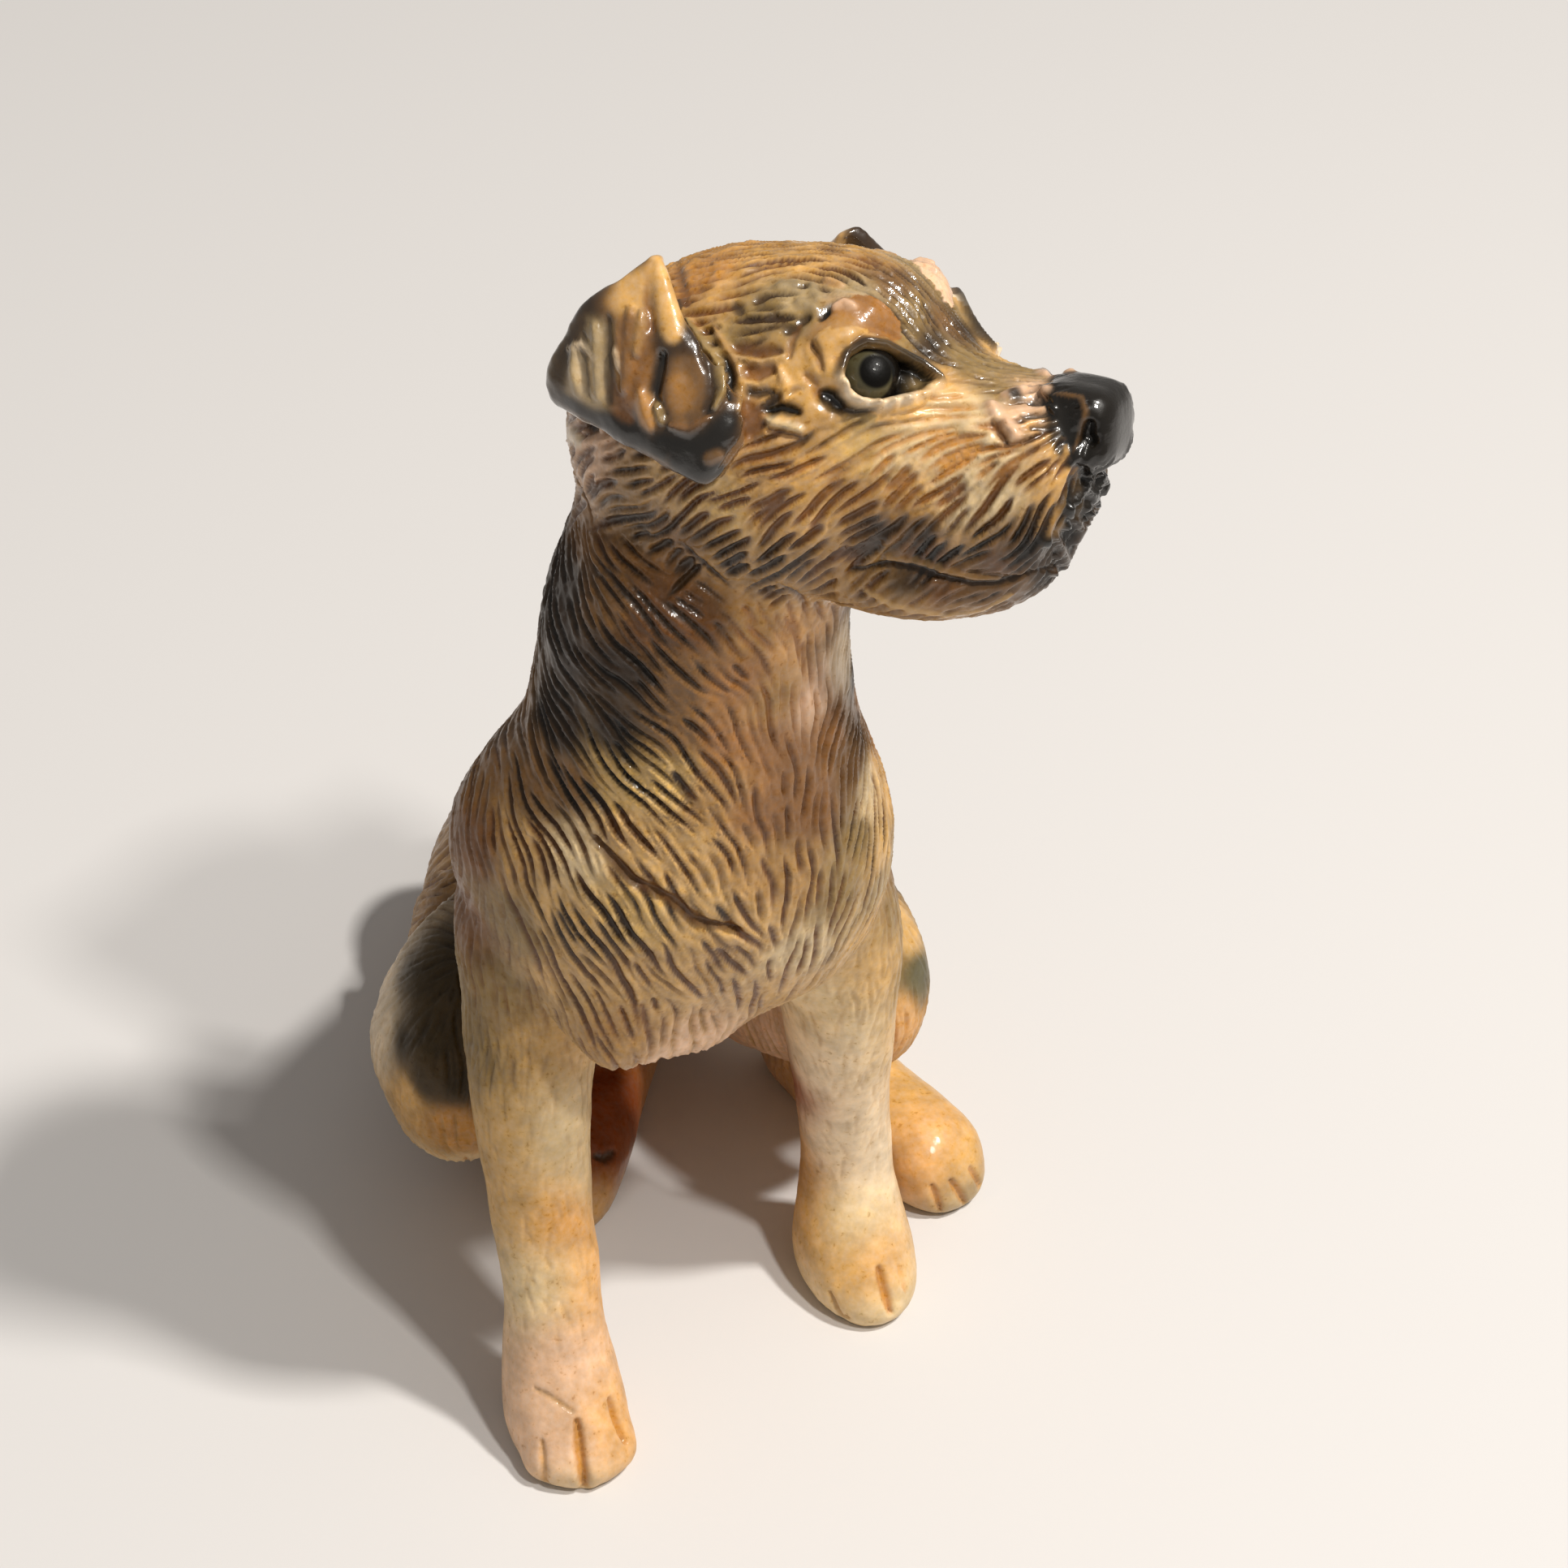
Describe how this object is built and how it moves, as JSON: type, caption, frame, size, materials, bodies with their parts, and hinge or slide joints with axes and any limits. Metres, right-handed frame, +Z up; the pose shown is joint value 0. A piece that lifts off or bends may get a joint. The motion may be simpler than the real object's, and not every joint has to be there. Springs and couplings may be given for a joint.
{
  "type": "ceramic dog sculpture",
  "caption": "Hand-built glazed ceramic terrier, sitting with its head turned and its coat cut in with a tool; a free-standing ornament.",
  "frame": {"origin": "centre of the flat seat, on the surface that the dog sits on", "axes": "+Z up, the body faces -Y, the dog's left side is +X"},
  "size_m": [0.0604, 0.1031, 0.125],
  "materials": {
    "fur_glaze": "gloss",
    "head_glaze": "gloss",
    "jaw_glaze": "gloss",
    "nose_glaze": "gloss",
    "eye_glaze": "gloss",
    "lid_glaze": "gloss",
    "ear_glaze": "gloss",
    "leg_glaze": "gloss",
    "haunch_glaze": "gloss",
    "foot_glaze": "gloss",
    "tail_glaze": "gloss"
  },
  "bodies": {
    "root": {"torso": "fur_glaze", "skull": "head_glaze", "lower_jaw": "jaw_glaze", "nose": "nose_glaze", "right_eyeball": "eye_glaze", "left_eyeball": "eye_glaze", "right_eyelids": "lid_glaze", "left_eyelids": "lid_glaze", "right_brow": "head_glaze", "left_brow": "head_glaze", "right_ear": "ear_glaze", "left_ear": "ear_glaze", "right_foreleg": "leg_glaze", "left_foreleg": "leg_glaze", "right_haunch": "haunch_glaze", "left_haunch": "haunch_glaze", "right_hind_foot": "foot_glaze", "left_hind_foot": "foot_glaze", "tail": "tail_glaze"}
  },
  "joints": []
}
